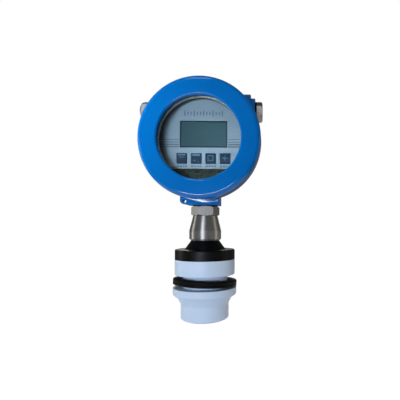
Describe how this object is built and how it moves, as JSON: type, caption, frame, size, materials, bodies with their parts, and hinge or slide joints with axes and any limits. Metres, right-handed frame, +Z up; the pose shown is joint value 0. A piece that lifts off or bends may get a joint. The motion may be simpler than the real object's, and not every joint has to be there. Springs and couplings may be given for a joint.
{
  "type": "ultrasonic level sensor",
  "caption": "Ultrasonic level sensor: a cast display head with screw cover, keys and cable entries on a short steel stem above a threaded sensor with mounting nut.",
  "frame": {"origin": "centre of the sensing face, on the stem axis", "axes": "+Z up the stem, the display faces -Y, +X to the reader's right"},
  "size_m": [0.1329, 0.08, 0.2469],
  "materials": {
    "blue_paint": "powder coat on cast aluminium",
    "black_rubber": "matte",
    "clear_glass": "clear, polished",
    "bare_aluminium": "machined",
    "brushed_plate": "brushed",
    "dark_plastic": "matte",
    "display_glass": "glossy, unlit",
    "key_plastic": "satin",
    "brass": "turned",
    "green_board": "solder mask",
    "green_plastic": "matte",
    "ferrite": "matte",
    "cream_plastic": "matte",
    "nickel_brass": "nickel plated brass",
    "steel": "turned stainless",
    "black_plastic": "satin",
    "white_plastic": "turned, satin",
    "piezo_ceramic": "fired"
  },
  "bodies": {
    "frame": {"housing": "blue_paint", "faceplate": "brushed_plate", "lcd_frame": "dark_plastic", "lcd_panel": "display_glass", "key_switches": "dark_plastic", "plate_spacers": "brass", "display_board": "green_board", "board_header": "dark_plastic", "board_standoffs": "brass", "main_board": "green_board", "terminal_block": "green_plastic", "terminal_screws": "steel", "pulse_transformer": "ferrite", "board_capacitors": "dark_plastic", "sensor_socket": "cream_plastic", "sensor_cable": "black_rubber", "gland_body": "nickel_brass", "gland_washer": "black_rubber", "blind_plug": "nickel_brass", "plug_washer": "black_rubber", "neck_set_screw": "steel", "neck_washer": "black_rubber", "lock_nut": "steel", "stem_adapter": "steel", "transducer_cap": "black_plastic", "cap_o_ring": "black_rubber", "sensor_body": "white_plastic", "matching_layer": "cream_plastic", "piezo_disc": "piezo_ceramic", "damping_block": "black_rubber", "temperature_probe": "steel"},
    "cover_seal": {"cover_o_ring": "black_rubber"},
    "screw_cover": {"front_cover": "blue_paint", "window_gasket": "black_rubber", "window_glass": "clear_glass", "glass_retainer": "bare_aluminium"},
    "loose_ring": {"sealing_ring": "black_rubber"},
    "flange_nut": {"mounting_nut": "white_plastic"},
    "entry_seal": {"gland_seal": "black_rubber"},
    "entry_cap": {"gland_cap": "nickel_brass"},
    "key_1_body": {"key_1": "key_plastic"},
    "key_2_body": {"key_2": "key_plastic"},
    "key_3_body": {"key_3": "key_plastic"},
    "key_4_body": {"key_4": "key_plastic"}
  },
  "joints": [
    {"name": "cover_slide", "type": "slide", "parent": "frame", "child": "cover_seal", "axis": [0, -1, 0], "range_m": [0, 0.0125]},
    {"name": "cover_turn", "type": "hinge", "parent": "cover_seal", "child": "screw_cover", "pos_m": [0, -0.02, 0.1864], "axis": [0, -1, 0], "range_deg": [0, 2160]},
    {"name": "ring_slide", "type": "slide", "parent": "frame", "child": "loose_ring", "axis": [0, 0, -1], "range_m": [-0.0025, 0.0355]},
    {"name": "nut_turn", "type": "hinge", "parent": "loose_ring", "child": "flange_nut", "pos_m": [0, 0, 0.03], "axis": [0, 0, -1], "range_deg": [-400, 6300]},
    {"name": "gland_slide", "type": "slide", "parent": "frame", "child": "entry_seal", "axis": [-1, 0, 0], "range_m": [0, 0.0035]},
    {"name": "gland_turn", "type": "hinge", "parent": "entry_seal", "child": "entry_cap", "pos_m": [-0.065, 0.006, 0.225], "axis": [-1, 0, 0], "range_deg": [0, 720]},
    {"name": "key_1_press", "type": "slide", "parent": "frame", "child": "key_1_body", "axis": [0, 1, 0], "range_m": [0, 0.0006], "stiffness_N_per_m": 1000},
    {"name": "key_2_press", "type": "slide", "parent": "frame", "child": "key_2_body", "axis": [0, 1, 0], "range_m": [0, 0.0006], "stiffness_N_per_m": 1000},
    {"name": "key_3_press", "type": "slide", "parent": "frame", "child": "key_3_body", "axis": [0, 1, 0], "range_m": [0, 0.0006], "stiffness_N_per_m": 1000},
    {"name": "key_4_press", "type": "slide", "parent": "frame", "child": "key_4_body", "axis": [0, 1, 0], "range_m": [0, 0.0006], "stiffness_N_per_m": 1000}
  ],
  "couplings": [
    {"joint": "cover_slide", "follows": "cover_turn", "m_per_rad": 0.00031831},
    {"joint": "ring_slide", "follows": "nut_turn", "m_per_rad": 0.00031831},
    {"joint": "gland_slide", "follows": "gland_turn", "m_per_rad": 0.00023873}
  ]
}
